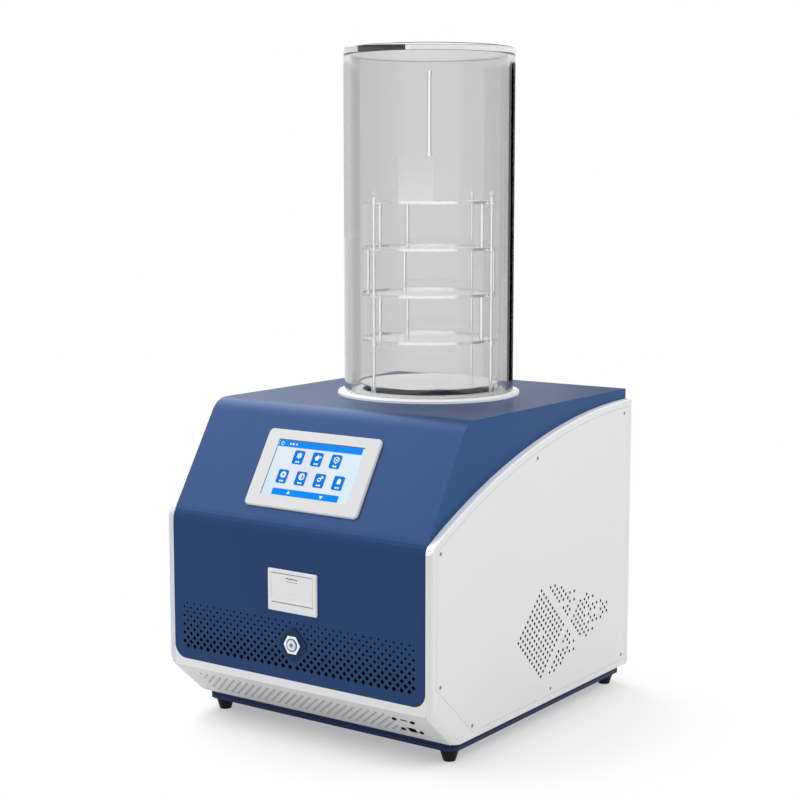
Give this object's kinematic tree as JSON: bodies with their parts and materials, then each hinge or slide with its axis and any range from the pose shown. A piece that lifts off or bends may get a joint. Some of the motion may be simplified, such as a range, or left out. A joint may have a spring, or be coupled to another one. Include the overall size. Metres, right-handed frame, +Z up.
{
  "type": "freeze dryer",
  "caption": "Bench-top freeze dryer: a blue and white cabinet with a touch screen, a printer and a cold trap, under a clear drying chamber with a rack of shelves.",
  "frame": {"origin": "on the floor under the middle of the whole object's box", "axes": "+X to the object's right seen from the front, +Y to its back, +Z up along the chamber"},
  "size_m": [0.455, 0.5748, 0.96],
  "materials": {
    "painted_blue": "satin",
    "painted_dark_blue": "satin",
    "white_moulding": "satin",
    "white_sheet": "satin",
    "clear_acrylic": "polished",
    "silicone": "satin",
    "steel": "brushed",
    "polished_steel": "polished",
    "nickel_brass": "polished",
    "copper_tube": "satin",
    "black_rubber": "matte",
    "black_plastic": "matte",
    "grey_plastic": "matte",
    "blue_plastic": "gloss",
    "red_plastic": "gloss",
    "foam": "matte",
    "paper": "matte",
    "screen": "polished",
    "hose": "satin",
    "board": "matte",
    "black_steel": "satin"
  },
  "bodies": {
    "cabinet": {"base_pan": "painted_dark_blue", "foot_front_left": "black_rubber", "foot_front_right": "black_rubber", "foot_rear_left": "black_rubber", "foot_rear_right": "black_rubber", "cover": "painted_blue", "side_shell_left": "white_moulding", "side_shell_right": "white_moulding", "side_panel_left": "white_moulding", "side_panel_right": "white_moulding", "panel_screws": "steel", "skirt": "white_sheet", "usb_socket": "steel", "data_socket": "black_plastic", "socket_screws": "black_steel", "rear_panel": "white_sheet", "screen_bezel": "white_moulding", "screen_glass": "screen", "screen_case": "grey_plastic", "control_board": "board", "printer_bezel": "white_moulding", "printer_case": "grey_plastic", "paper_roll": "paper", "port_plate": "painted_dark_blue", "port_body": "nickel_brass", "drain_hose": "hose", "flange_ring": "white_moulding", "base_seal": "silicone", "chamber_tube": "clear_acrylic", "chamber_lid": "clear_acrylic", "cold_trap": "steel", "evaporator_coil": "copper_tube", "trap_foam": "foam", "shelf_1": "steel", "shelf_2": "steel", "shelf_3": "steel", "shelf_4": "steel", "rack_base": "steel", "rack_post_1": "polished_steel", "rack_post_2": "polished_steel", "rack_post_3": "polished_steel", "rack_spacers": "polished_steel", "temperature_logger": "white_moulding", "logger_antenna": "polished_steel", "compressor": "black_steel", "compressor_mounts": "black_rubber", "condenser": "copper_tube", "fan_shroud": "grey_plastic", "fan_motor": "steel", "refrigerant_pipes": "copper_tube", "vacuum_port": "steel", "power_inlet": "black_plastic", "switch_frame": "black_plastic", "pump_outlet": "black_plastic"},
    "door": {"printer_door": "white_moulding"},
    "latch": {"door_latch": "white_moulding"},
    "platen": {"platen_roller": "black_rubber"},
    "collar": {"release_collar": "white_moulding"},
    "fan": {"fan_rotor": "grey_plastic"},
    "rocker": {"switch_rocker": "red_plastic"}
  },
  "joints": [
    {"name": "door_hinge", "type": "hinge", "parent": "cabinet", "child": "door", "pos_m": [0, -0.2836, 0.2043], "axis": [1, 0, 0], "range_deg": [0, 90]},
    {"name": "latch_tilt", "type": "hinge", "parent": "door", "child": "latch", "pos_m": [0, -0.284, 0.2338], "axis": [1, 0, 0], "range_deg": [0, 18], "stiffness_Nm_per_rad": 0.02},
    {"name": "platen_spin", "type": "hinge", "parent": "door", "child": "platen", "pos_m": [0, -0.2783, 0.2357], "axis": [1, 0, 0], "continuous": true},
    {"name": "collar_push", "type": "slide", "parent": "cabinet", "child": "collar", "axis": [0, 1, 0], "range_m": [0, 0.0015], "stiffness_N_per_m": 400},
    {"name": "fan_spin", "type": "hinge", "parent": "cabinet", "child": "fan", "pos_m": [0, 0.0499, 0.12], "axis": [1, 0, 0], "continuous": true},
    {"name": "rocker_tilt", "type": "hinge", "parent": "cabinet", "child": "rocker", "pos_m": [-0.022, 0.2504, 0.092], "axis": [-1, 0, 0], "range_deg": [0, 14]}
  ]
}
